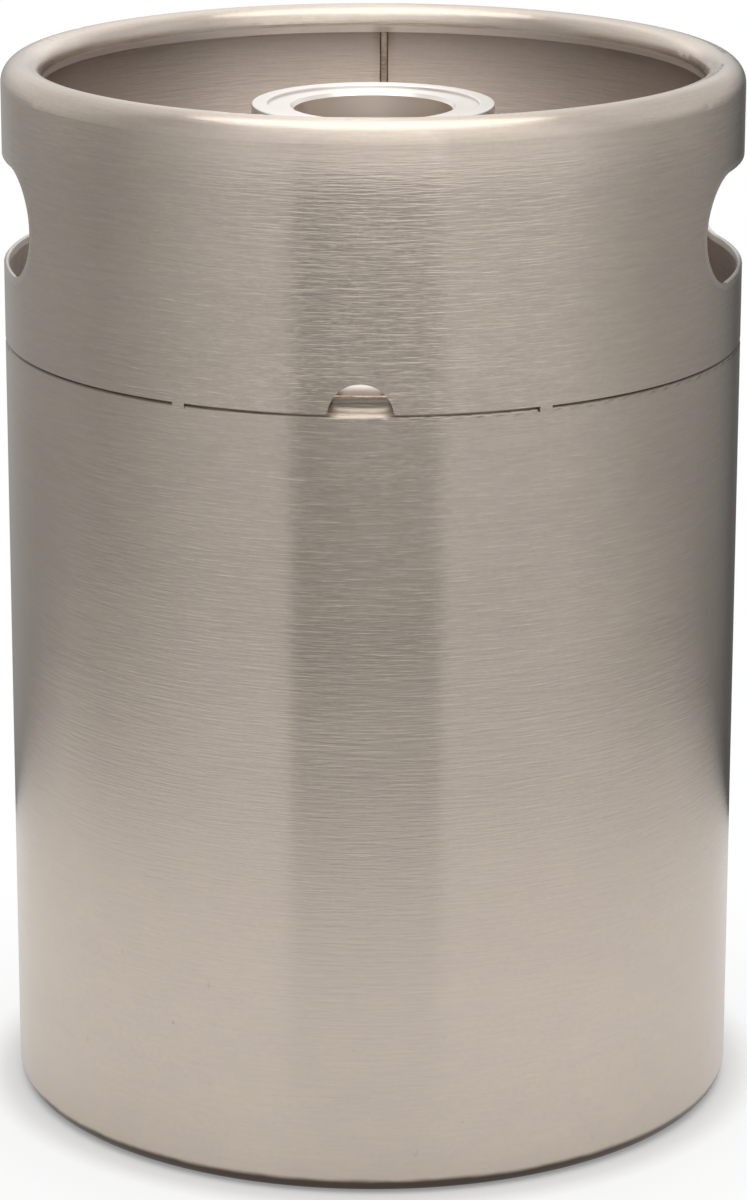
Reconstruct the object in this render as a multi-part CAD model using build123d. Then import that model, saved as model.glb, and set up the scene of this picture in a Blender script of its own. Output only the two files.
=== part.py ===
"""A small stainless steel keg: a welded vessel with an open threaded neck inside a carrying collar.

Each function below makes one piece of the keg and returns it in its place. Most pieces are turned
sheet metal: the middle line of the sheet is drawn in the XZ plane, given its thickness and turned
about the Z axis. The origin is the middle of the foot, Z points up, and the front is towards -Y.
All sizes are in millimetres.
"""
from build123d import *
import os
from math import asin, cos, degrees, radians, sin, sqrt

# ---- Driving dimensions ----
# Whole keg
outer_radius = 85.0  # of body and collar, which are flush
body_height = 180.0  # from the floor to the top of the body's shoulder
collar_height = 64.0  # from the shoulder to the top of the rolled rim
shell_wall = 1.1  # sheet of the body and the collar
head_wall = 1.0  # sheet of the top head and the base head
fit_gap = 0.1  # play between a sheet piece and the one it slides into
weld_gap = 0.05  # hairline between a weld bead and a round wall that it lies on

# Body
base_corner_radius = 4.0  # outside radius where the wall turns in to the foot
foot_width = 3.0  # flat part of the turned-in foot
shoulder_width = 4.0  # from the body's outer face in to the spigot
shoulder_bend_radius = 0.6  # middle radius where the wall turns in to the shoulder
spigot_bend_radius = 1.5  # middle radius where the shoulder turns up to the spigot
spigot_height = 3.2  # short tube above the shoulder that holds the top head

# Base head
base_flange_width = 7.0  # flat edge of the base head, which lies on the foot
base_knuckle_radius = 8.0
base_dish_angle = 20.0  # slope where the knuckle meets the dish, in degrees

# Top head
head_skirt = 4.0  # straight wall of the head, which ends level with the shoulder
head_knuckle_radius = 5.0
head_crown_radius = 149.5

# Neck ring
neck_outer_radius = 27.9
neck_height = 30.0  # from the crown up to the sealing ring
neck_below_crown = 6.0  # how far the boss reaches into the vessel
seat_radius = 24.1  # shallow step that the seal lies in
seat_depth = 0.7
bore_radius = 18.2  # wall of the bore that carries the thread
ring_edge = 0.4  # rounding of the sealing ring's edges
bore_chamfer = 0.8  # at both ends of the bore

# Collar
collar_seam_gap = 0.5  # open seam between the shoulder and the collar's lower edge
rim_outer_radius = 4.9  # outside radius where the collar's wall rolls over
rim_inner_radius = 4.1  # outside radius where the roll turns down again
rim_lip_drop = 6.4  # from the top of the rim to the edge of the sheet
hand_hole_length = 78.0
hand_hole_height = 25.0
hand_hole_below_rim = 33.7  # from the top of the rim to the hand holes' middle
edge_break = 0.3  # rounding of the hand holes' edges
notch_radius = 7.2  # drain notch
notch_rise = 6.7  # height of the notch above the collar's lower edge
notch_foot_radius = 0.8  # rounding where the notch runs into the lower edge

# Welds
groove_weld_depth = 1.3  # of the weld in the groove between the spigot and the top head
groove_weld_crown = 0.3  # how far that weld stands above the spigot
base_bead = 0.9  # leg of the bead under the foot
neck_bead = 2.4  # leg of the bead around the neck ring
seam_bead_width = 2.0  # vertical beads inside body and collar
seam_bead_height = 0.4
seam_bead_edge = 0.28  # rounding of the beads' inner edges
tack_length = 3.0  # along the seam
tack_depth = 1.0  # from the outer face inwards
tack_angles = [28, 90, 152, 208, 270, 332]  # from the front, seen from above, in degrees

# ---- Worked out from the driving dimensions ----
body_inner_radius = outer_radius - shell_wall
wall_middle_radius = outer_radius - shell_wall / 2
spigot_outer_radius = outer_radius - shoulder_width
spigot_inner_radius = spigot_outer_radius - shell_wall
spigot_top = body_height + spigot_height
skirt_outer_radius = spigot_inner_radius - fit_gap
skirt_middle_radius = skirt_outer_radius - head_wall / 2
skirt_bottom = body_height - head_skirt
centre_distance = head_crown_radius - head_knuckle_radius  # from the crown's centre to the knuckle's
knuckle_end_slope = asin((skirt_middle_radius - head_knuckle_radius) / centre_distance)
crown_centre = body_height - centre_distance * cos(knuckle_end_slope)
neck_hole_radius = neck_outer_radius + fit_gap
overall_height = body_height + collar_height
collar_bottom = body_height + collar_seam_gap
hand_hole_middle = overall_height - hand_hole_below_rim
foot_inner_radius = outer_radius - base_corner_radius - foot_width
base_flange_outer = outer_radius - base_corner_radius - fit_gap
reach = 2 * outer_radius  # tools that cut through a wall end this far from the axis


# ---- Helpers ----
def turned_sheet(middle_line, wall):
    """Give a middle line, drawn as (radius, height), its sheet thickness and turn it about Z."""
    return turned(trace(middle_line, wall))


def turned(section, angle=360.0, start=0.0):
    """Turn a section, drawn as (radius, height), about the Z axis."""
    solid = revolve(Plane.XZ * section, Axis.Z, angle)
    return Rot(0, 0, start) * solid


def on_crown(radius, offset=0.0):
    """Height of the top head's outer face, or a face offset above it, at a radius on its crown."""
    crown_face = head_crown_radius + head_wall / 2 + offset
    return crown_centre + sqrt(crown_face**2 - radius**2)


def vertical_bead(wall_radius, bottom, top):
    """A weld bead on the inside of a round wall, at the back."""
    face = wall_radius - weld_gap
    strip = Pos(0, face) * Rectangle(seam_bead_width, 2 * seam_bead_height)
    section = (Circle(face) - Circle(face - seam_bead_height)) & strip
    inner_corners = section.vertices().sort_by(Axis.Y)[:2]
    section = fillet(inner_corners, seam_bead_edge)
    return Pos(0, 0, bottom) * extrude(section, top - bottom)


# ---- Pieces ----
def body_shell():
    """The cylinder: foot, wall, shoulder and spigot in one sheet."""
    spigot_middle = spigot_outer_radius - shell_wall / 2
    shoulder_middle = body_height - shell_wall / 2
    middle_line = FilletPolyline(
        (foot_inner_radius, shell_wall / 2),
        (wall_middle_radius, shell_wall / 2),
        (wall_middle_radius, shoulder_middle),
        (spigot_middle, shoulder_middle),
        (spigot_middle, spigot_top),
        radius=[base_corner_radius - shell_wall / 2, shoulder_bend_radius, spigot_bend_radius],
    )
    return turned_sheet(middle_line, shell_wall)


def body_seam_weld():
    """The longitudinal weld of the rolled body."""
    return vertical_bead(body_inner_radius, base_corner_radius + shell_wall, skirt_bottom - weld_gap)


def base_head():
    """The base: a flat flange on the foot, a knuckle and a dish that rises to the middle."""
    flange_middle = shell_wall + head_wall / 2
    flange_inner = base_flange_outer - base_flange_width
    slope = radians(base_dish_angle)
    dish_edge = flange_inner - base_knuckle_radius * sin(slope)
    flange = Line((base_flange_outer, flange_middle), (flange_inner, flange_middle))
    knuckle = JernArc(flange @ 1, flange % 1, base_knuckle_radius, -base_dish_angle)
    dish = JernArc(knuckle @ 1, knuckle % 1, dish_edge / sin(slope), base_dish_angle)
    return turned_sheet(flange + knuckle + dish, head_wall)


def base_weld():
    """The ring of weld between the foot's inner edge and the base head above it."""
    foot_edge = foot_inner_radius - weld_gap
    section = make_face(
        Polyline(
            (foot_edge, shell_wall),
            (foot_edge, shell_wall - base_bead),
            (foot_edge - base_bead, shell_wall),
            close=True,
        )
    )
    return turned(section)


def top_head():
    """The dome: a straight skirt, a knuckle inside the spigot and a crown with a hole for the neck."""
    hole_slope = asin(neck_hole_radius / head_crown_radius)
    skirt = Line((skirt_middle_radius, skirt_bottom), (skirt_middle_radius, body_height))
    knuckle = JernArc(skirt @ 1, skirt % 1, head_knuckle_radius, 90 - degrees(knuckle_end_slope))
    crown = JernArc(knuckle @ 1, knuckle % 1, head_crown_radius, degrees(knuckle_end_slope - hole_slope))
    return turned_sheet(skirt + knuckle + crown, head_wall)


def top_head_weld():
    """The weld that fills the groove between the spigot's inner wall and the head's knuckle."""
    outer = spigot_inner_radius - weld_gap
    bottom = spigot_top - groove_weld_depth
    top = spigot_top + groove_weld_crown
    knuckle_centre = skirt_middle_radius - head_knuckle_radius
    knuckle_face = head_knuckle_radius + head_wall / 2 + fit_gap
    low_inner = (knuckle_centre + sqrt(knuckle_face**2 - (bottom - body_height) ** 2), bottom)
    high_inner = (knuckle_centre + sqrt(knuckle_face**2 - (top - body_height) ** 2), top)
    high_outer = (outer - groove_weld_crown, top)
    section = make_face(
        Polyline(low_inner, high_inner, high_outer, (outer, spigot_top), (outer, bottom), close=True)
    )
    return turned(section)


def neck_ring():
    """The turned boss: sealing ring, the step inside it and the bore."""
    bottom = on_crown(neck_outer_radius) - neck_below_crown
    top = on_crown(neck_outer_radius) + neck_height
    seat = top - seat_depth
    outline = Polyline(
        (bore_radius, bottom),
        (neck_outer_radius, bottom),
        (neck_outer_radius, top),
        (seat_radius, top),
        (seat_radius, seat),
        (bore_radius, seat),
        close=True,
    )
    section = make_face(outline)
    ring_corners = section.vertices().sort_by(Axis.Y)[-2:]
    section = fillet(ring_corners, ring_edge)
    bore_corners = section.vertices().filter_by_position(Axis.X, bore_radius, bore_radius)
    section = chamfer(bore_corners, bore_chamfer)
    return turned(section)


def neck_weld():
    """The fillet weld between the neck ring and the crown of the top head."""
    inner = neck_outer_radius + weld_gap
    outer = inner + neck_bead
    crown_face = head_crown_radius + head_wall / 2 + weld_gap
    low_outer = (outer, on_crown(outer, weld_gap))
    low_inner = (inner, on_crown(inner, weld_gap))
    high_inner = (inner, on_crown(inner, weld_gap) + neck_bead)
    along_crown = RadiusArc(low_outer, low_inner, crown_face)
    return turned(make_face(along_crown + Polyline(low_inner, high_inner, low_outer)))


def collar():
    """The carrying collar: rolled rim, hand holes at the sides and the drain notch in front."""
    roll_start = overall_height - rim_outer_radius
    wall = Line((wall_middle_radius, collar_bottom), (wall_middle_radius, roll_start))
    roll_out = JernArc(wall @ 1, wall % 1, rim_outer_radius - shell_wall / 2, 90)
    roll_in = JernArc(roll_out @ 1, roll_out % 1, rim_inner_radius - shell_wall / 2, 90)
    lip_end = (roll_in @ 1).X, overall_height - rim_lip_drop
    lip = Line(roll_in @ 1, lip_end)
    sheet = turned_sheet(wall + roll_out + roll_in + lip, shell_wall)
    return with_notch(with_hand_holes(sheet))


def with_hand_holes(sheet):
    """Cut both hand holes with one tool along X and round their edges."""
    outline = Plane.YZ * Pos(0, hand_hole_middle) * SlotOverall(hand_hole_length, hand_hole_height)
    cut = sheet - extrude(outline, reach, both=True)
    hole_edges = new_edges(sheet, combined=cut).filter_by(GeomType.LINE, reverse=True)
    return fillet(hole_edges, edge_break)


def with_notch(sheet):
    """Cut the drain notch through the front wall and round its two feet."""
    notch_middle = collar_bottom + notch_rise - notch_radius
    tool = Plane.XZ * Pos(0, notch_middle) * Circle(notch_radius)
    cut = sheet - extrude(tool, reach)
    foot_edges = new_edges(sheet, combined=cut).filter_by(GeomType.LINE)
    return fillet(foot_edges, notch_foot_radius)


def collar_seam_weld():
    """The vertical weld inside the back of the collar."""
    return vertical_bead(body_inner_radius, collar_bottom, overall_height - rim_outer_radius)


def collar_tack_welds():
    """Short welds, ground flush, that bridge the seam between the shoulder and the collar."""
    bend = shoulder_bend_radius + shell_wall / 2 + weld_gap
    bend_centre = outer_radius - shoulder_bend_radius - shell_wall / 2
    bend_middle = body_height - shoulder_bend_radius - shell_wall / 2
    inner = outer_radius - tack_depth
    inner_bottom = bend_middle + sqrt(bend**2 - (inner - bend_centre) ** 2)
    outer_bottom = bend_middle + sqrt(bend**2 - (outer_radius - bend_centre) ** 2)
    low_outer = (outer_radius, outer_bottom)
    low_inner = (inner, inner_bottom)
    along_shoulder = RadiusArc(low_outer, low_inner, -bend)
    other_sides = Polyline(low_inner, (inner, collar_bottom), (outer_radius, collar_bottom), low_outer)
    section = make_face(along_shoulder + other_sides)
    width = degrees(tack_length / outer_radius)
    front = -90.0
    return [turned(section, width, front + angle - width / 2) for angle in tack_angles]


pieces = {
    "body_shell": body_shell,
    "body_seam_weld": body_seam_weld,
    "base_head": base_head,
    "base_weld": base_weld,
    "top_head": top_head,
    "top_head_weld": top_head_weld,
    "neck_ring": neck_ring,
    "neck_weld": neck_weld,
    "collar": collar,
    "collar_seam_weld": collar_seam_weld,
    "collar_tack_welds": collar_tack_welds,
}

os.makedirs("parts", exist_ok=True)
for name, make_piece in pieces.items():
    made = make_piece()
    solids = made if isinstance(made, list) else made.solids()
    shape = Compound(children=list(solids)) if len(solids) > 1 else solids[0]
    export_step(shape, f"parts/{name}.step")
    print(f"{name}: {len(solids)} solid(s), {sum(solid.volume for solid in solids):.1f} mm3")
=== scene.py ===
# %% [markdown]
# # A small stainless steel keg
#
# The keg is a welded vessel under a carrying collar. Its solids come finished from the CAD model, so this
# lesson is about everything that makes them look like steel: brushed and turned finishes, weld beads with
# ripples and heat tint, the thread in the neck, and a light tent of the kind that metal goods are shown in.
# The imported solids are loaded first, because most sizes below are read from them.

# %% The frame
from math import cos, pi, radians, sin

import bpy
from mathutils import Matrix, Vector


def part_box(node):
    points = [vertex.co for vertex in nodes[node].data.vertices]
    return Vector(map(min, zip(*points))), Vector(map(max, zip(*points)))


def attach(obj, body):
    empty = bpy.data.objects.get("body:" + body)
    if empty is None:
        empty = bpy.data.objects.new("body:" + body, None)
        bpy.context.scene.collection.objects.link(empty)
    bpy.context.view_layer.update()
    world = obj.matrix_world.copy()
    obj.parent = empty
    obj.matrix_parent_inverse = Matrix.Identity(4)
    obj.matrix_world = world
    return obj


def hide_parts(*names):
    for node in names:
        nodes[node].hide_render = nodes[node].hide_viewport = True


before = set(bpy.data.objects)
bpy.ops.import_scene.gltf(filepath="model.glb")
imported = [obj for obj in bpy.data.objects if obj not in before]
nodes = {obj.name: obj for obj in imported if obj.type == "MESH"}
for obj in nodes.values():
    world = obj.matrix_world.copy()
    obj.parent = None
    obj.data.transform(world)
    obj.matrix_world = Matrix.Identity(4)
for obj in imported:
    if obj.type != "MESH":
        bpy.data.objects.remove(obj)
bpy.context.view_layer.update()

mm = 0.001
outer_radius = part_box("body_shell")[1].x
rim_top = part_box("collar")[1].z
collar_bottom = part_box("collar")[0].z
print(f"keg: {2 * outer_radius / mm:.0f} mm across, {rim_top / mm:.0f} mm high, {len(nodes)} nodes")

# %% [markdown]
# ## Camera
#
# A metal cylinder looks right only from the right distance: from too near, the ellipses of its rim and foot
# open too far. This camera stands a little over a metre away and looks down on the keg by about sixteen
# degrees. The keg is turned two degrees from it, so the drain notch sits just left of the middle.

# %% Camera
picture_height = 1200
focal_length_px = 4603.0
camera_distance = 1.044
camera_height = 0.4144
camera_azimuth = radians(1.8)
camera_pitch = radians(16.006)
camera_yaw = radians(-0.01)
camera_roll = radians(-0.0756)
long_side_mm = 36.0


def make_camera():
    """The camera, with the sensor's long side upright in a picture that is taller than it is wide."""
    data = bpy.data.cameras.new("Camera")
    data.sensor_width = long_side_mm
    data.lens = focal_length_px / picture_height * long_side_mm
    data.clip_start = 0.05
    data.clip_end = 50.0
    camera = bpy.data.objects.new("Camera", data)
    bpy.context.scene.collection.objects.link(camera)
    camera.location = (
        camera_distance * sin(camera_azimuth),
        -camera_distance * cos(camera_azimuth),
        camera_height,
    )
    camera.rotation_euler = (pi / 2 - camera_pitch, camera_roll, camera_azimuth - camera_yaw)
    bpy.context.scene.camera = camera
    return camera


camera = make_camera()
print(f"camera: {camera.data.lens:.1f} mm lens, {camera_distance:.2f} m away")

# %% [markdown]
# ## Calls that every tree of nodes shares
#
# Finishes are trees of shader nodes, and what repeats is made by trees of geometry nodes. A small class
# keeps the calls of both short: `feed` links a socket or types a number into it, and `math`, `times` and
# `plus` add a node and return its output. They could be drawn by hand in the editor, but a tree that is
# written out can be read, measured and made again with another number.

# %% Calls for nodes


class Nodes:
    """Short calls for adding and linking the nodes of a tree."""

    def __init__(self, tree):
        self.tree = tree

    def add(self, kind, **settings):
        """Add a node of a kind and give it these settings."""
        node = self.tree.nodes.new(kind)
        for name, value in settings.items():
            setattr(node, name, value)
        return node

    def feed(self, socket, value):
        """Link a socket to another node's output, or type a value into it."""
        if isinstance(value, bpy.types.NodeSocket):
            self.tree.links.new(value, socket)
        else:
            socket.default_value = value

    def chain(self, kind, settings, **values):
        """Add a node, feed its inputs by name, with _ for a space, and return its first output."""
        node = self.add(kind, **settings)
        for name, value in values.items():
            self.feed(node.inputs[name.replace("_", " ")], value)
        return node.outputs[0]

    def math(self, operation, first, second=0.0, third=0.0):
        """The outcome of an operation on up to three values."""
        node = self.add("ShaderNodeMath", operation=operation)
        for socket, value in zip(node.inputs, (first, second, third)):
            self.feed(socket, value)
        return node.outputs[0]

    def times(self, first, second):
        return self.math("MULTIPLY", first, second)

    def plus(self, first, second):
        return self.math("ADD", first, second)

    def vector(self, operation, first, second=(0.0, 0.0, 0.0)):
        """The outcome of an operation on one or two vectors."""
        node = self.add("ShaderNodeVectorMath", operation=operation)
        self.feed(node.inputs[0], first)
        self.feed(node.inputs[1], second)
        return node.outputs[0]

    def combine(self, x, y, z):
        """A vector of three values."""
        node = self.add("ShaderNodeCombineXYZ")
        for socket, value in zip(node.inputs, (x, y, z)):
            self.feed(socket, value)
        return node.outputs[0]


print("node calls ready")

# %% [markdown]
# ## A finish
#
# Each finish is one material: patterns in front of one Principled shader. The patterns read Object
# coordinates, which are metres from the middle of the foot, so that a scratch of five millimetres stays
# five millimetres on every piece. An image wrapped round the wall would blur close up and show its seam, so
# all patterns are noise, stretched and cut to shape.

# %% A finish


class Finish(Nodes):
    """A material with a Principled shader and short calls for the patterns in front of it."""

    def __init__(self, name):
        self.material = bpy.data.materials.new(name)
        self.material.use_nodes = True
        super().__init__(self.material.node_tree)
        self.tree.nodes.clear()
        self.shader = self.add("ShaderNodeBsdfPrincipled")
        output = self.add("ShaderNodeOutputMaterial")
        self.tree.links.new(self.shader.outputs["BSDF"], output.inputs["Surface"])
        self.shader.inputs["Metallic"].default_value = 1.0
        self.read_place()

    def read_place(self):
        """Where a point lies: x, y, z, aside from the middle plane and out from the axis, and its normal."""
        coordinates = self.add("ShaderNodeTexCoord")
        self.facing = coordinates.outputs["Normal"]
        split = self.add("ShaderNodeSeparateXYZ")
        self.feed(split.inputs[0], coordinates.outputs["Object"])
        self.x, self.y, self.z = split.outputs
        self.aside = self.math("ABSOLUTE", self.x)
        squares = self.plus(self.times(self.x, self.x), self.times(self.y, self.y))
        self.radius = self.math("SQRT", squares)

    def step(self, value, start, end, way="SMOOTHSTEP"):
        """0 where value is at start, 1 where it is at end, and smooth or, with LINEAR, straight between."""
        node = self.add("ShaderNodeMapRange", interpolation_type=way)
        for name, number in (("Value", value), ("From Min", start), ("From Max", end)):
            self.feed(node.inputs[name], number)
        return node.outputs[0]

    def scale(self, value, low, high):
        """Spread a value between 0 and 1 over low to high."""
        return self.math("MULTIPLY_ADD", value, high - low, low)

    def noise(self, size, seed, stretch=(1.0, 1.0, 1.0)):
        """Cloudy noise between about 0 and 1, with blotches of one size, stretched along x, y and z."""
        node = self.add("ShaderNodeTexNoise", noise_dimensions="4D")
        axes = zip((self.x, self.y, self.z), stretch)
        vector = self.combine(*(self.times(axis, 1.0 / (size * factor)) for axis, factor in axes))
        for name, value in (("Vector", vector), ("W", seed), ("Scale", 1.0)):
            self.feed(node.inputs[name], value)
        return node.outputs["Fac"]

    def streaks(self, length, width, seed):
        """Noise drawn out along circles about the keg's axis, as scratches from brushing or turning are."""
        node = self.add("ShaderNodeTexNoise", noise_dimensions="4D")
        vector = self.combine(
            self.math("DIVIDE", self.x, length),
            self.math("DIVIDE", self.y, length),
            self.math("DIVIDE", self.z, width),
        )
        outwards = self.math("MULTIPLY_ADD", self.radius, 1.0 / width, seed)
        for name, value in (("Vector", vector), ("W", outwards), ("Scale", 1.0)):
            self.feed(node.inputs[name], value)
        return node.outputs["Fac"]

    def mix(self, share, first, second):
        """A colour between two others, each a tuple or another node's output."""
        node = self.add("ShaderNodeMix", data_type="RGBA")
        sockets = [socket for socket in node.inputs if socket.enabled]
        for socket, value in zip(sockets, (share, first, second)):
            self.feed(socket, (*value, 1.0) if isinstance(value, tuple) else value)
        return next(socket for socket in node.outputs if socket.enabled)

    def brighten(self, colour, factor):
        """A colour times a factor."""
        node = self.add("ShaderNodeVectorMath", operation="SCALE")
        self.feed(node.inputs[0], colour)
        self.feed(node.inputs["Scale"], factor)
        return node.outputs[0]

    def grain_round_axis(self, anisotropy):
        """Blur reflections across scratches that run round the keg's axis."""
        tangent = self.add("ShaderNodeTangent", direction_type="RADIAL", axis="Z")
        self.feed(self.shader.inputs["Tangent"], tangent.outputs[0])
        self.shader.inputs["Anisotropic"].default_value = anisotropy
        self.shader.inputs["Anisotropic Rotation"].default_value = 0.25

    def bump(self, height, depth):
        """Small relief on top of self.facing, the surface's own normal unless a finish changed it."""
        node = self.add("ShaderNodeBump")
        node.inputs["Distance"].default_value = depth
        self.feed(node.inputs["Normal"], self.facing)
        self.feed(node.inputs["Height"], height)
        self.feed(self.shader.inputs["Normal"], node.outputs[0])

    def surface(self, colour, roughness):
        """Give the shader its colour and roughness, which ends the finish."""
        self.feed(self.shader.inputs["Base Color"], colour)
        self.feed(self.shader.inputs["Roughness"], roughness)
        return self.material


print("finish calls ready")

# %% [markdown]
# ## Brushed steel
#
# The wall of body and collar is brushed while it turns, so its scratches run round the keg. Each scratch is
# a tiny groove that throws light up and down but hardly sideways. Reflections are therefore smeared
# upright, and edges of light and shade stand as crisp vertical bands. Anisotropy does this in the shader,
# and streaks of noise in colour, roughness and bump give the scratches that the eye can still make out.
# They grow stronger towards the top, and are weaker on the rolled rim and round at the sides.

# %% Brushed steel
rosy_steel, olive_steel = (0.5875, 0.511, 0.4475), (0.5925, 0.519, 0.4385)
fine_scratch, coarse_scratch = (5.5 * mm, 0.42 * mm), (14 * mm, 0.85 * mm)
cloud_size, hue_size, speckle_size = 24 * mm, 8 * mm, 1.1 * mm
faint_below, strong_above = 60 * mm, 185 * mm
scratch_depth = 0.14 * mm


def brushed_steel(finish, seed, deepest):
    """Give a finish the steel, tone and roughness of a wall that is brushed round its axis."""
    fine = finish.streaks(*fine_scratch, seed)
    coarse = finish.streaks(*coarse_scratch, seed + 10)
    clouds = finish.noise(cloud_size, seed + 20, stretch=(1.6, 1.6, 0.7))
    upwards = finish.step(finish.z, faint_below, strong_above)
    scratches = finish.plus(finish.scale(fine, -0.07, 0.07), finish.scale(coarse, -0.06, 0.06))
    scratches = finish.times(scratches, finish.scale(upwards, 0.35, 1.0))
    speckle = finish.noise(speckle_size, seed + 60)
    soft = finish.plus(finish.scale(clouds, 0.95, 1.05), finish.scale(speckle, -0.05, 0.05))
    finish.tone = finish.plus(scratches, soft)
    finish.roughness = finish.plus(finish.scale(fine, 0.20, 0.28), finish.scale(clouds, -0.02, 0.02))
    hues = finish.noise(hue_size, seed + 25, stretch=(1.3, 1.3, 0.8))
    finish.steel = finish.mix(finish.step(hues, 0.35, 0.65), olive_steel, rosy_steel)
    on_rim = finish.step(finish.z, rim_top - 14 * mm, rim_top - 6 * mm)
    at_sides = finish.step(finish.aside, 30 * mm, 75 * mm)
    depth = finish.times(finish.scale(upwards, 0.15, deepest), finish.scale(on_rim, 1.0, 0.2))
    depth = finish.times(depth, finish.scale(at_sides, 1.0, 0.4))
    finish.bump(finish.times(finish.plus(fine, coarse), depth), scratch_depth)
    finish.grain_round_axis(0.9)


print(f"scratches: {fine_scratch[0] / mm} and {coarse_scratch[0] / mm} mm long")

# %% [markdown]
# ## The body
#
# The body is a rolled tube, drawn in at its top to a shoulder and a spigot that carry the collar and the
# head. Steel mirrors even the smallest waver of a surface, and a mesh wavers along a bend of half a
# millimetre, however fine it is. The wall is a true cylinder and its shoulder a known curve, so their
# normals are worked out from their shape instead. Shade is painted dark into the gap under the collar and at
# the ends of the drain notch, a painted dark band lies on the corner above the floor where the steel mirrors
# the shadow under the keg, and a few scuffs lie low down.

# %% The body
tint_brown = (0.30, 0.19, 0.12)
# painted shade: the dark colour for the gap under the collar, the ends of the drain notch and the band above
# the floor
painted_shade_dark = (0.10, 0.075, 0.06)
shoulder_height = collar_bottom - 0.5 * mm
edge_bend, spigot_bend = 0.6 * mm, 1.5 * mm
crown = 0.8
# how dark the painted shade is in the gap and on the spigot, and how brown the real scuffs turn
gap_shade_share, spigot_shade_share, scuff_share = 0.78, 0.5, 0.35


def shoulder_normal(finish):
    """The normal of the wall, and of the shoulder, which is crowned between its edge and the spigot."""
    over_edge = finish.step(finish.z, shoulder_height - edge_bend, shoulder_height, "LINEAR")
    over_spigot = finish.step(finish.z, shoulder_height + spigot_bend, shoulder_height, "LINEAR")
    up = finish.times(finish.math("MINIMUM", over_edge, over_spigot), crown)
    out = finish.math("SQRT", finish.math("SUBTRACT", 1.0, finish.times(up, up)))
    share = finish.math("DIVIDE", out, finish.radius)
    return finish.combine(finish.times(finish.x, share), finish.times(finish.y, share), up)


def from_notch(finish, near, far):
    """0 in the drain notch, up to near from its middle, and 1 from far on and round the rest of the keg."""
    beside = finish.step(finish.aside, near, far)
    further_back = finish.step(finish.y, -0.5 * outer_radius, -0.4 * outer_radius)
    return finish.math("MAXIMUM", beside, further_back)


def painted_gap_shade(finish):
    """Painted shade on the shoulder, in the gap under the collar and at the ends of the notch, and on the
    spigot.
    """
    shoulder = finish.step(finish.z, shoulder_height - 0.5 * mm, shoulder_height - 0.2 * mm)
    spigot = finish.step(finish.z, shoulder_height + 0.6 * mm, shoulder_height + 1.2 * mm)
    beside_notch = from_notch(finish, 4.2 * mm, 7.2 * mm)
    painted_shade = finish.math("MAXIMUM", beside_notch, finish.times(spigot, spigot_shade_share))
    return finish.times(shoulder, finish.times(painted_shade, gap_shade_share))


def brushed_body(name, seed):
    """The body, with scuffs low down, painted shade in the gap and a painted dark band above the floor."""
    finish = Finish(name)
    at_shoulder = finish.step(finish.z, shoulder_height - 1.2 * mm, shoulder_height - 0.8 * mm)
    outside = finish.step(finish.radius, outer_radius - 0.8 * mm, outer_radius - 0.3 * mm)
    on_wall = finish.times(outside, finish.step(finish.z, 5 * mm, 7 * mm))
    worked_out = finish.math("MAXIMUM", at_shoulder, on_wall)
    finish.facing = finish.mix(worked_out, finish.facing, shoulder_normal(finish))
    brushed_steel(finish, seed, deepest=0.75)
    # Painted shade: a dark band on the corner above the floor, where the steel mirrors the keg's shadow.
    wobble = finish.noise(9 * mm, seed + 40, stretch=(1.0, 1.0, 0.5))
    wavy_height = finish.plus(finish.z, finish.scale(wobble, -0.5 * mm, 0.5 * mm))
    painted_foot_band = finish.step(wavy_height, 4.0 * mm, 2.5 * mm)
    marks = finish.noise(2.2 * mm, seed + 50, stretch=(1.0, 1.0, 1.8))
    scuffs = finish.times(finish.step(marks, 0.70, 0.80), finish.step(finish.z, 90 * mm, 20 * mm))
    worn = finish.mix(finish.times(scuffs, scuff_share), finish.steel, tint_brown)
    dark = finish.math("MAXIMUM", painted_foot_band, painted_gap_shade(finish))
    colour = finish.brighten(finish.mix(dark, worn, painted_shade_dark), finish.tone)
    return finish.surface(colour, finish.roughness)


body_steel = brushed_body("brushed_body", seed=1.0)
print("finish:", body_steel.name)

# %% [markdown]
# ## The collar
#
# The collar is brushed outside like the body. Inside, its wall is left as it came from the rolls, duller
# and blotchy, with a heat-tinted stripe along the weld at the back. Light and shade are painted into that
# inside wall as well: darker under the rim and towards the sides, brighter lower down and in the middle,
# brighter still by the left hand hole and a plain grey by the right one. The edges of the hand holes are
# ground so that they don't cut, which leaves them matt and pale. Each place could have a material of its
# own, but the mesh of a CAD node is left as it is, so one material tells the places apart by their height
# and by their distance from the axis and from the holes.

# %% The collar
rolled_dark, rolled_light = (0.52, 0.445, 0.395), (0.60, 0.525, 0.475)
ground_edge = (0.82, 0.79, 0.755)
# painted reflection: a plain grey on the inside wall by the right hand hole
hole_grey = (0.58, 0.575, 0.57)
hole_height, hole_end, hole_radius = rim_top - 33.7 * mm, 26.5 * mm, 12.5 * mm
side_from, side_to = 77 * mm, 81 * mm
wall_middle = outer_radius - 0.55 * mm
rim_lean = 0.12


def hole_edge(finish):
    """How matt and pale the edges of the hand holes are ground: most at the back, where a palm would rub."""
    along = finish.math("ABSOLUTE", finish.y)
    past_end = finish.math("MAXIMUM", 0.0, finish.math("SUBTRACT", along, hole_end))
    level = finish.math("SUBTRACT", finish.z, hole_height)
    squares = finish.plus(finish.times(past_end, past_end), finish.times(level, level))
    off_edge = finish.math("SUBTRACT", finish.math("SQRT", squares), hole_radius)
    ground = finish.scale(finish.step(finish.y, -10 * mm, 10 * mm), 0.12, 1.0)
    return finish.times(finish.step(off_edge, 2.0 * mm, 1.0 * mm), ground)


def inner_wall(finish):
    """1 on the inside of the collar's wall, up to the rolled rim."""
    inwards = finish.step(finish.radius, wall_middle + 0.1 * mm, wall_middle - 0.1 * mm)
    return finish.times(inwards, finish.step(finish.z, rim_top - 4.5 * mm, rim_top - 5.5 * mm))


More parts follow.
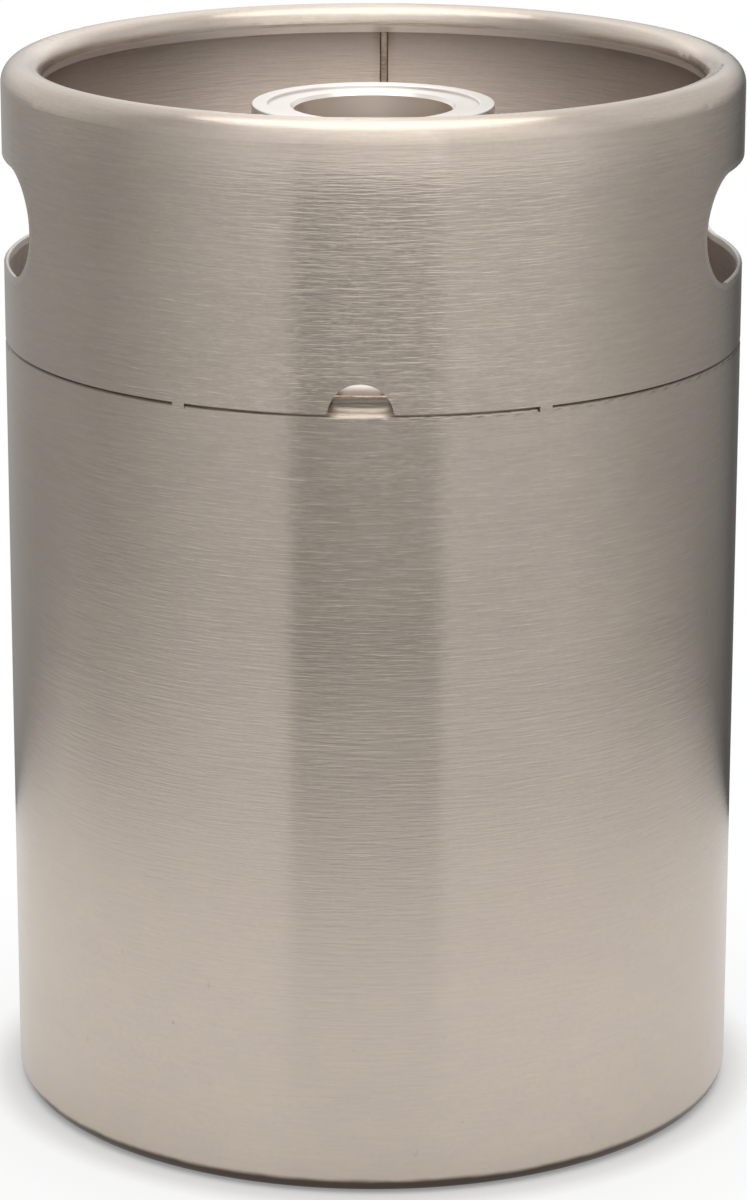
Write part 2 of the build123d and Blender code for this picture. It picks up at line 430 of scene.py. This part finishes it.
def rolled_steel_with_painted_light(finish, blotches):
    """Rolled steel, browned along the weld; light is painted in, brightest low down, mid-wall and by the left
    hole.
    """
    # Painted light and shade on the inside wall: darker under the rim and at the sides, brighter below and by
    # the left hole.
    lower = finish.scale(finish.step(finish.z, rim_top - 7 * mm, rim_top - 28 * mm), 1.0, 1.5)
    painted_brightness = finish.times(lower, finish.scale(finish.step(finish.aside, 25 * mm, 70 * mm), 1.06, 0.78))
    at_left = finish.scale(finish.step(finish.x, -side_from, -side_to), 1.0, 2.3)
    at_right = finish.step(finish.x, side_from, side_to)
    colour = finish.mix(at_right, finish.mix(blotches, rolled_dark, rolled_light), hole_grey)
    colour = finish.brighten(colour, finish.times(painted_brightness, at_left))
    near_seam = finish.step(finish.aside, 3.5 * mm, 0.8 * mm)
    near_lip = finish.step(finish.z, rim_top - 15 * mm, rim_top - 8 * mm)
    heated = finish.times(near_seam, finish.scale(near_lip, 0.12, 0.5))
    return finish.mix(heated, colour, tint_brown)


def brushed_collar(name, seed):
    """The collar, which leans in a little under its rim and is left as rolled on the inside of its wall."""
    finish = Finish(name)
    near_rim = finish.step(finish.z, rim_top - 20 * mm, rim_top - 5 * mm)
    outside = finish.step(finish.radius, outer_radius - 0.9 * mm, outer_radius - 0.2 * mm)
    lean = finish.combine(0.0, 0.0, finish.scale(finish.times(near_rim, outside), 0.0, rim_lean))
    finish.facing = finish.vector("NORMALIZE", finish.vector("ADD", finish.facing, lean))
    brushed_steel(finish, seed, deepest=1.05)
    inside = inner_wall(finish)
    blotches = finish.noise(11 * mm, seed + 30, stretch=(1.0, 1.0, 1.6))
    edge = hole_edge(finish)
    finish.feed(finish.shader.inputs["Metallic"], finish.scale(edge, 1.0, 0.45))
    sheet = finish.mix(inside, finish.steel, rolled_steel_with_painted_light(finish, blotches))
    colour = finish.brighten(finish.mix(edge, sheet, ground_edge), finish.tone)
    duller = finish.times(inside, finish.scale(blotches, 0.16, 0.26))
    return finish.surface(colour, finish.plus(finish.roughness, duller))


collar_steel = brushed_collar("brushed_collar", seed=4.0)
print("finish:", collar_steel.name)

# %% [markdown]
# ## Drawn heads, turned neck and welds
#
# The two heads are pressed from sheet and keep a satin skin. The neck comes from the lathe, bright and with
# grooves far finer than the brushing. A weld cools with straw and brown patches on it, and the upright weld
# in the collar has a dark line along each of its edges. The tack welds are ground flush and brushed over
# with the collar, so they take the collar's finish and not this one.

# %% Drawn and turned steel
head_dark, head_light = (0.50, 0.455, 0.41), (0.59, 0.54, 0.495)
turned_bright, bore_warm = (0.80, 0.765, 0.72), (0.84, 0.765, 0.70)
bore_radius = 18.2 * mm
groove_length, groove_width = 40 * mm, 0.12 * mm


def drawn_steel(name, seed):
    """The satin skin of a drawn head, with painted shade where its knuckle goes under the collar."""
    finish = Finish(name)
    clouds = finish.noise(18 * mm, seed)
    grain = finish.noise(0.6 * mm, seed + 5)
    # Painted shade on the knuckle round the keg, except in the middle of the drain notch.
    knuckle = finish.step(finish.radius, outer_radius - 8 * mm, outer_radius - 6 * mm)
    painted_shade = finish.times(knuckle, from_notch(finish, 3.2 * mm, 5.4 * mm))
    unshaded = finish.mix(clouds, head_dark, head_light)
    colour = finish.brighten(finish.mix(painted_shade, unshaded, painted_shade_dark), finish.scale(grain, 0.94, 1.06))
    finish.bump(grain, 0.006 * mm)
    return finish.surface(colour, finish.scale(clouds, 0.30, 0.42))


def turned_steel(name, seed):
    """Bright steel from the lathe, a little warmer in the bore."""
    finish = Finish(name)
    grooves = finish.streaks(groove_length, groove_width, seed)
    clouds = finish.noise(9 * mm, seed + 5)
    in_bore = finish.step(finish.radius, bore_radius + 0.6 * mm, bore_radius + 0.3 * mm)
    bright = finish.mix(in_bore, turned_bright, bore_warm)
    colour = finish.brighten(bright, finish.scale(grooves, 0.94, 1.06))
    finish.bump(grooves, 0.003 * mm)
    finish.grain_round_axis(0.5)
    return finish.surface(colour, finish.scale(clouds, 0.30, 0.38))


head_steel = drawn_steel("drawn_head", seed=2.0)
neck_steel = turned_steel("turned_neck", seed=3.0)
print("finishes:", head_steel.name, neck_steel.name)

# %% Weld steel
weld_bright = (0.59, 0.515, 0.443)


def edge_tint(finish):
    """1 along both edges of the upright weld at the back, where its heat left a dark line."""
    starts = finish.step(finish.aside, 0.5 * mm, 0.8 * mm)
    ends = finish.step(finish.aside, 1.5 * mm, 1.3 * mm)
    at_back = finish.step(finish.y, outer_radius - 4 * mm, outer_radius - 3 * mm)
    return finish.times(finish.times(starts, ends), at_back)


def weld_steel(name, seed):
    """A weld as it cooled, with straw and brown heat tint in patches."""
    finish = Finish(name)
    patches = finish.noise(3 * mm, seed)
    grain = finish.noise(0.4 * mm, seed + 5)
    tint = finish.math("MAXIMUM", finish.step(patches, 0.45, 0.75), edge_tint(finish))
    colour = finish.brighten(finish.mix(tint, weld_bright, tint_brown), finish.scale(grain, 0.9, 1.1))
    finish.bump(grain, 0.02 * mm)
    return finish.surface(colour, finish.scale(patches, 0.28, 0.45))


weld_finish = weld_steel("weld", seed=6.0)
print("finish:", weld_finish.name)

# %% Finishes on the nodes
node_finishes = {
    "body_shell": body_steel,
    "collar": collar_steel,
    "collar_tack_welds": collar_steel,
    "base_head": head_steel,
    "top_head": head_steel,
    "neck_ring": neck_steel,
}
for name, node in nodes.items():
    node.data.materials.clear()
    node.data.materials.append(node_finishes.get(name, weld_finish))
print("finishes on", len(nodes), "nodes")

# %% [markdown]
# ## Calls for geometry nodes
#
# The thread in the neck and the ripples of a weld bead both repeat along a path, which is what Geometry
# Nodes are for: one tree makes every piece of its kind, and its named inputs hold the sizes. A recipe sets
# up such a tree, runs it on a path and keeps the result as a plain mesh that rides on the keg.

# %% Calls for geometry nodes


class Recipe(Nodes):
    """A tree of geometry nodes with named inputs, which makes a plain mesh of what it is used on."""

    def __init__(self, name, **inputs):
        super().__init__(bpy.data.node_groups.new(name, "GeometryNodeTree"))
        face = self.tree.interface
        face.new_socket("Path", in_out="INPUT", socket_type="NodeSocketGeometry")
        for label, value in inputs.items():
            socket = face.new_socket(label.replace("_", " "), in_out="INPUT", socket_type="NodeSocketFloat")
            socket.default_value = value
        face.new_socket("Finish", in_out="INPUT", socket_type="NodeSocketMaterial")
        face.new_socket("Mesh", in_out="OUTPUT", socket_type="NodeSocketGeometry")
        self.given = self.add("NodeGroupInput").outputs

    def end(self, mesh):
        """Shade the mesh smooth, make it real and give it its finish."""
        smooth = self.chain("GeometryNodeSetShadeSmooth", {}, Geometry=mesh, Shade_Smooth=True)
        real = self.chain("GeometryNodeRealizeInstances", {}, Geometry=smooth)
        finished = self.chain("GeometryNodeSetMaterial", {}, Geometry=real, Material=self.given["Finish"])
        self.tree.links.new(finished, self.add("NodeGroupOutput").inputs["Mesh"])

    def make(self, name, path, finish, **values):
        """Run the tree on a path with these inputs and keep the result as a plain mesh."""
        carrier = bpy.data.objects.new(f"{name}_path", path)
        bpy.context.scene.collection.objects.link(carrier)
        modifier = carrier.modifiers.new("recipe", "NODES")
        modifier.node_group = self.tree
        for item in self.tree.interface.items_tree:
            label = item.name.replace(" ", "_")
            if label in values:
                modifier[item.identifier] = values[label]
            if label == "Finish":
                modifier[item.identifier] = finish
        evaluated = carrier.evaluated_get(bpy.context.evaluated_depsgraph_get())
        mesh = bpy.data.meshes.new_from_object(evaluated)
        bpy.data.objects.remove(carrier)
        mesh.name = name
        piece = bpy.data.objects.new(name, mesh)
        bpy.context.scene.collection.objects.link(piece)
        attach(piece, "root")
        print(f"{name}: {len(mesh.vertices)} points")
        return piece


# %% [markdown]
# ## The thread
#
# The tap of a keg screws into the neck. Its thread is one ridge that climbs the wall of the bore. It could
# be cut out of the solid, but a wound ridge gives the same look with far fewer faces: a spiral is the path,
# and a trapezoid drawn along it is the ridge, which grows out of the wall over the first half turn and
# sinks back into it over the last.

# %% Thread
thread_pitch, thread_turns, thread_depth = 3.0 * mm, 7.5, 0.9 * mm
thread_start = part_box("neck_ring")[0].z + 3.0 * mm
root_share, crest_share = 0.75, 0.22


def thread_recipe():
    """A tapped thread: a ridge of trapezoid section, wound inside a bore and faded in and out at its ends."""
    recipe = Recipe(
        "thread", Bore_radius=bore_radius, Depth=thread_depth, Pitch=thread_pitch, Turns=thread_turns,
        Start=thread_start,
    )
    given = recipe.given
    climb = recipe.times(given["Pitch"], given["Turns"])
    spiral = recipe.chain(
        "GeometryNodeCurveSpiral", {}, Resolution=96, Rotations=given["Turns"],
        Start_Radius=given["Bore radius"], End_Radius=given["Bore radius"], Height=climb,
    )
    upwards = recipe.combine(0.0, 0.0, given["Start"])
    placed = recipe.chain("GeometryNodeTransform", {}, Geometry=spiral, Translation=upwards)
    upright = recipe.chain("GeometryNodeSetCurveNormal", {"mode": "Z_UP"}, Curve=placed)
    factor = recipe.add("GeometryNodeSplineParameter").outputs["Factor"]
    from_end = recipe.math("MINIMUM", factor, recipe.math("SUBTRACT", 1.0, factor))
    half_turns = recipe.times(given["Turns"], 2.0)
    fade = recipe.math("MINIMUM", 1.0, recipe.times(from_end, half_turns))
    section = recipe.chain(
        "GeometryNodeCurvePrimitiveQuadrilateral", {"mode": "TRAPEZOID"},
        Height=recipe.times(given["Depth"], 1.1), Offset=0.0,
        Bottom_Width=recipe.times(given["Pitch"], crest_share),
        Top_Width=recipe.times(given["Pitch"], root_share),
    )
    inwards = recipe.combine(0.0, recipe.times(given["Depth"], -0.45), 0.0)
    section = recipe.chain("GeometryNodeTransform", {}, Geometry=section, Translation=inwards)
    ridge = recipe.chain(
        "GeometryNodeCurveToMesh", {}, Curve=upright, Profile_Curve=section, Scale=fade, Fill_Caps=True
    )
    recipe.end(ridge)
    return recipe


thread = thread_recipe().make(
    "neck_thread", bpy.data.meshes.new("nothing"), neck_steel, Bore_radius=bore_radius,
    Depth=thread_depth, Pitch=thread_pitch, Turns=thread_turns, Start=thread_start,
)

# %% [markdown]
# ## Weld beads
#
# A weld bead is a string of small ripples, one for each drop of filler. Its plain stand-in from the CAD
# model is a smooth ring or bar. A pattern of bumps on it would vanish at its outline, so the ripples are
# real: one tree draws an oval along any path, swells it with every ripple and lets it wander a little, and
# all four beads come from that tree with other sizes.

# %% The tree for a bead
steps_in_ripple = 5.0
swell_share = 0.16


def bead_recipe():
    """A weld bead: an oval section drawn along a path, with ripples and a little unevenness."""
    recipe = Recipe("weld_bead", Width=2 * mm, Height=1 * mm, Ripple=1.2 * mm, Unevenness=0.1, Seed=0.0)
    given = recipe.given
    path = recipe.chain("GeometryNodeMeshToCurve", {}, Mesh=given["Path"])
    step_length = recipe.math("DIVIDE", given["Ripple"], steps_in_ripple)
    dense = recipe.chain("GeometryNodeResampleCurve", {"mode": "LENGTH"}, Curve=path, Length=step_length)
    upright = recipe.chain("GeometryNodeSetCurveNormal", {"mode": "Z_UP"}, Curve=dense)
    length = recipe.add("GeometryNodeSplineParameter").outputs["Length"]
    phase = recipe.math("FRACT", recipe.math("DIVIDE", length, given["Ripple"]))
    swell = recipe.math("MULTIPLY_ADD", recipe.math("POWER", phase, 2.0), -swell_share, 1.0)
    wander = recipe.chain(
        "ShaderNodeTexNoise", {"noise_dimensions": "4D"}, W=given["Seed"], Scale=220.0, Detail=1.0
    )
    uneven = recipe.times(recipe.math("SUBTRACT", wander, 0.5), given["Unevenness"])
    circle = recipe.chain("GeometryNodeCurvePrimitiveCircle", {}, Resolution=12, Radius=0.5)
    oval = recipe.combine(given["Height"], given["Width"], 1.0)
    section = recipe.chain("GeometryNodeTransform", {}, Geometry=circle, Scale=oval)
    bead = recipe.chain(
        "GeometryNodeCurveToMesh", {}, Curve=upright, Profile_Curve=section,
        Scale=recipe.plus(swell, uneven), Fill_Caps=True,
    )
    recipe.end(bead)
    return recipe


bead = bead_recipe()
print("bead inputs:", [socket.name for socket in bead.given if socket.name])

# %% The four beads


def ring_path(radius, height, corners=360):
    """A round path of short straight runs."""
    mesh = bpy.data.meshes.new("ring_path")
    turns = [2 * pi * i / corners for i in range(corners)]
    points = [(radius * cos(turn), radius * sin(turn), height) for turn in turns]
    mesh.from_pydata(points, [(i, (i + 1) % corners) for i in range(corners)], [])
    return mesh


def upright_path(y, bottom, top):
    """A straight path upwards in the keg's middle plane."""
    mesh = bpy.data.meshes.new("upright_path")
    mesh.from_pydata([(0.0, y, bottom), (0.0, y, top)], [(0, 1)], [])
    return mesh


def weld_bead(name, node, path, **sizes):
    """A bead in place of the plain one from the CAD model."""
    piece = bead.make(name, path, weld_finish, **sizes)
    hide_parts(node)


neck_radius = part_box("neck_ring")[1].x
neck_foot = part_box("neck_weld")[0].z
weld_bead(
    "neck_bead", "neck_weld", ring_path(neck_radius + 0.45 * mm, neck_foot + 0.75 * mm),
    Width=4.0 * mm, Height=4.0 * mm, Ripple=1.3 * mm, Unevenness=0.12, Seed=1.0,
)
groove_outer, groove_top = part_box("top_head_weld")[1].x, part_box("top_head_weld")[1].z
weld_bead(
    "top_head_bead", "top_head_weld", ring_path(groove_outer - 0.6 * mm, groove_top - 0.7 * mm),
    Width=1.3 * mm, Height=1.4 * mm, Ripple=1.0 * mm, Unevenness=0.1, Seed=2.0,
)
foot_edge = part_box("base_weld")[1].x
weld_bead(
    "base_bead", "base_weld", ring_path(foot_edge, 1.1 * mm),
    Width=1.7 * mm, Height=1.7 * mm, Ripple=1.1 * mm, Unevenness=0.1, Seed=3.0,
)
# On an upright path the section's Height lies across the wall, and its Width stands out from it.
seam_bottom, seam_top = (corner.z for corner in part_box("collar_seam_weld"))
weld_bead(
    "collar_seam_bead", "collar_seam_weld", upright_path(outer_radius - 1.1 * mm, seam_bottom, seam_top),
    Width=0.8 * mm, Height=2.2 * mm, Ripple=0.9 * mm, Unevenness=0.1, Seed=4.0,
)

# %% [markdown]
# ## Floor
#
# The keg stands on a plain pale floor that runs out into a white background. A floor that is only lit never
# gets quite white without too much light on the keg, so it turns into a white glow with distance from the
# foot. The glow is only for what the camera sees, by itself or in the steel, and it is weakest beside the
# foot, so that the shadow where keg and floor touch is kept.

# %% Floor
floor_size = 8.0
floor_white = (0.9, 0.9, 0.9)
behind_from, behind_to = -0.05, 0.10
seen_fade, camera_fade = (0.03, 0.22), (-0.10, 0.16)
contact_shadow = (0.085, 0.095)


def is_seen(tree):
    """1 for what the camera sees, by itself or in a reflection, and 0 for light on its way to a surface."""
    path = tree.add("ShaderNodeLightPath").outputs
    mirrored = tree.math("MAXIMUM", path["Is Glossy Ray"], path["Is Transmission Ray"])
    return tree.math("MAXIMUM", path["Is Camera Ray"], mirrored)


def white_share(finish):
    """How white the floor glows: more outwards, hardly behind the keg, and most for the camera itself."""
    behind = finish.step(finish.y, behind_from, behind_to)
    outwards = finish.step(finish.radius, *seen_fade, "LINEAR")
    seen = finish.times(finish.times(outwards, finish.scale(behind, 0.85, 0.1)), is_seen(finish))
    by_camera = finish.add("ShaderNodeLightPath").outputs["Is Camera Ray"]
    straight = finish.times(finish.step(finish.radius, *camera_fade, "LINEAR"), by_camera)
    straight = finish.times(straight, finish.step(finish.radius, *contact_shadow, "LINEAR"))
    return finish.math("MAXIMUM", seen, straight)


def fade_to_white(finish):
    """Mix a plain white glow into a finish by the white share."""
    white = finish.add("ShaderNodeEmission")
    both = finish.add("ShaderNodeMixShader")
    output = next(node for node in finish.tree.nodes if node.type == "OUTPUT_MATERIAL")
    values = (white_share(finish), finish.shader.outputs["BSDF"], white.outputs[0])
    for socket, value in zip(both.inputs, values):
        finish.feed(socket, value)
    finish.feed(output.inputs["Surface"], both.outputs[0])


def make_floor():
    """A pale floor with a faint grain."""
    mesh = bpy.data.meshes.new("floor")
    half = floor_size / 2
    corners = [(-half, -half, 0), (half, -half, 0), (half, half, 0), (-half, half, 0)]
    mesh.from_pydata(corners, [], [(0, 1, 2, 3)])
    floor = bpy.data.objects.new("floor", mesh)
    bpy.context.scene.collection.objects.link(floor)
    finish = Finish("pale_floor")
    finish.shader.inputs["Metallic"].default_value = 0.0
    grain = finish.noise(60 * mm, seed=8.0)
    colour = finish.brighten(floor_white, finish.scale(grain, 0.99, 1.01))
    mesh.materials.append(finish.surface(colour, 0.9))
    fade_to_white(finish)


make_floor()
print(f"floor: {floor_size:.0f} m square")

# %% [markdown]
# ## Light tent
#
# Metal shows what is around it and has hardly a colour of its own, so its picture is made by its
# surroundings. Small metal goods are often shown in a tent of white cloth with a slit for the
# camera. The slit shows up on a brushed cylinder as a dark upright band, and the cloth on both sides as
# bright ones. Lamps of the right shape could do the same, but it takes many of them. The tent here is a
# ring of curved panels that only reflections can see, and every point of them glows as tables of a few
# stops say: a glow by azimuth, in degrees from the front towards +X, times a factor by height, less a dip
# low down behind the keg, which its sides mirror, plus a lift high up at the front and at the back, for
# shoulder and rim.

# %% Tent tables
tent_height = 0.80
tent_radius = [(-180, 0.18), (-150, 0.21), (-100, 0.34), (100, 0.34), (150, 0.21), (180, 0.18)]
left_glow = [
    (-180, 0.40), (-156, 0.38), (-134, 0.385), (-120, 0.36), (-98, 0.375), (-80, 0.35), (-65, 0.40),
    (-47, 0.475), (-33, 0.495), (-20, 0.50),
]
slit_glow = [(-20, 0.232), (-10, 0.268), (0, 0.29), (20, 0.297)]
right_glow = [
    (20, 0.53), (41, 0.525), (55, 0.545), (70, 0.485), (86, 0.405), (105, 0.36), (123, 0.255), (138, 0.095),
    (154, 0.165), (180, 0.21),
]
left_by_height = [
    (0.0, 1.08), (0.03, 1.18), (0.065, 1.10), (0.085, 1.02), (0.105, 1.05), (0.127, 1.12), (0.155, 1.05),
    (0.60, 1.0),
]
right_by_height = [
    (0.0, 0.98), (0.04, 1.05), (0.065, 1.03), (0.105, 1.05), (0.127, 1.10), (0.155, 1.05), (0.60, 1.0),
]
slit_by_height = [
    (0.0, 0.86), (0.03, 0.93), (0.06, 0.97), (0.085, 0.95), (0.105, 1.24), (0.127, 1.44), (0.155, 1.10),
    (0.17, 1.12), (0.19, 1.7), (0.23, 3.2), (0.28, 4.0), (0.60, 4.5),
]
front_lift = [(0.0, 0.0), (0.13, 0.0), (0.155, 0.06), (0.17, 0.13), (0.22, 0.45), (0.30, 1.0), (0.60, 1.3)]
front_share = [
    (-180, 0.0), (-70, 0.0), (-47, 0.45), (-33, 0.85), (-20, 1.0), (-19.9, 0.0), (19.9, 0.0), (20, 1.0),
    (41, 1.0), (55, 0.8), (70, 0.3), (86, 0.0), (180, 0.0),
]
low_dip = [(0.0, 0.50), (0.02, 0.42), (0.05, 0.22), (0.095, 0.0), (0.80, 0.0)]
dip_share = [
    (-180, 1.1), (-150, 1.1), (-130, 0.7), (-100, 0.4), (-70, 0.0), (75, 0.0), (105, 0.5), (180, 0.45),
]
back_lift = [(0.0, 0.0), (0.235, 0.0), (0.29, 1.0), (0.60, 1.25)]
back_share = [
    (-180, 1.0), (-165, 0.85), (-150, 0.58), (-135, 0.5), (-120, 0.42), (-95, 0.3), (-70, 0.08), (-50, 0.0),
    (50, 0.0), (70, 0.1), (91, 0.38), (120, 0.45), (135, 0.6), (150, 0.8), (165, 0.85), (180, 1.0),
]


def between(stops, at):
    """A value read off a line of (place, value) stops."""
    for (start, low), (end, high) in zip(stops, stops[1:]):
        if at <= end:
            return low + (high - low) * max(0.0, at - start) / (end - start)
    return stops[-1][1]


print(f"tent: {tent_height} m high, slit {slit_glow[-1][0] - slit_glow[0][0]} degrees wide")

# %% Tent cloth


def glowing_cloth():
    """The material of the tent: each point glows as its attribute says."""
    material = bpy.data.materials.new("tent_cloth")
    material.use_nodes = True
    tree = material.node_tree
    tree.nodes.clear()
    glow = tree.nodes.new("ShaderNodeAttribute")
    glow.attribute_name = "glow"
    light = tree.nodes.new("ShaderNodeEmission")
    output = tree.nodes.new("ShaderNodeOutputMaterial")
    tree.links.new(glow.outputs["Fac"], light.inputs["Strength"])
    tree.links.new(light.outputs[0], output.inputs["Surface"])
    return material


cloth = glowing_cloth()
print("cloth:", cloth.name)

# %% Tent panels
column_degrees = 3
panel_rows = 24


def tent_glow(glow, by_height, azimuth, z):
    """How brightly a point of the tent glows."""
    dip = 1.0 - between(low_dip, z) * between(dip_share, azimuth)
    lift = between(front_lift, z) * between(front_share, azimuth)
    at_back = between(back_lift, z) * between(back_share, azimuth)
    return dip * between(glow, azimuth) * (between(by_height, z) + lift) + at_back


def tent_panel(name, glow, by_height):
    """A curved upright panel, from the first azimuth of its glow to the last."""
    start, end = glow[0][0], glow[-1][0]
    columns = max(2, round((end - start) / column_degrees))
    points, brightness = [], []
    for row in range(panel_rows + 1):
        z = tent_height * row / panel_rows
        for column in range(columns + 1):
            azimuth = start + (end - start) * column / columns
            radius = between(tent_radius, azimuth)
            points.append((radius * sin(radians(azimuth)), -radius * cos(radians(azimuth)), z))
            brightness.append(tent_glow(glow, by_height, azimuth, z))
    wide = columns + 1
    corners = [row * wide + column for row in range(panel_rows) for column in range(columns)]
    mesh = bpy.data.meshes.new(name)
    mesh.from_pydata(points, [], [(i, i + 1, i + 1 + wide, i + wide) for i in corners])
    mesh.attributes.new("glow", "FLOAT", "POINT").data.foreach_set("value", brightness)
    mesh.materials.append(cloth)
    panel = bpy.data.objects.new(name, mesh)
    bpy.context.scene.collection.objects.link(panel)
    panel.visible_camera = False
    panel.visible_diffuse = False
    panel.visible_shadow = False
    print(f"{name}: {start} to {end} degrees")


tent_panel("tent_left", left_glow, left_by_height)
tent_panel("tent_slit", slit_glow, slit_by_height)
tent_panel("tent_right", right_glow, right_by_height)

# %% [markdown]
# ## Lamps and world
#
# The tent glows only in reflections, so the floor and the matt places need light of their own. A large
# square lamp overhead gives the soft shadow under the keg, and a weaker one behind keeps its back from
# going dark. The world adds an even light from all sides, and is white where the camera or the steel looks
# past the tent.

# %% Lamps and world
world_light = 0.5


def softbox(name, place, target, size, power):
    """A square lamp that faces a point."""
    data = bpy.data.lights.new(name, "AREA")
    data.size = size
    data.energy = power
    lamp = bpy.data.objects.new(name, data)
    bpy.context.scene.collection.objects.link(lamp)
    lamp.location = place
    lamp.rotation_euler = (Vector(target) - Vector(place)).to_track_quat("-Z", "Y").to_euler()
    lamp.visible_camera = False
    print(f"{name}: {power:.0f} W")


softbox("overhead", place=(0.0, 0.0, 1.8), target=(0, 0, 0.1), size=2.6, power=27.0)
softbox("back_light", place=(0.3, 1.8, 1.0), target=(0, 0, 0.2), size=1.4, power=8.0)


def make_world():
    """White for the camera and in reflections, and a softer white as light."""
    world = bpy.data.worlds.new("studio")
    bpy.context.scene.world = world
    world.use_nodes = True
    sky = Nodes(world.node_tree)
    sky.tree.nodes.clear()
    light = sky.add("ShaderNodeBackground")
    white = sky.add("ShaderNodeBackground")
    light.inputs["Strength"].default_value = world_light
    for background in (light, white):
        background.inputs["Color"].default_value = (1.0, 1.0, 1.0, 1.0)
    both = sky.add("ShaderNodeMixShader")
    for socket, value in zip(both.inputs, (is_seen(sky), light.outputs[0], white.outputs[0])):
        sky.feed(socket, value)
    sky.feed(sky.add("ShaderNodeOutputWorld").inputs["Surface"], both.outputs[0])


make_world()
bpy.context.scene.view_settings.view_transform = "Standard"
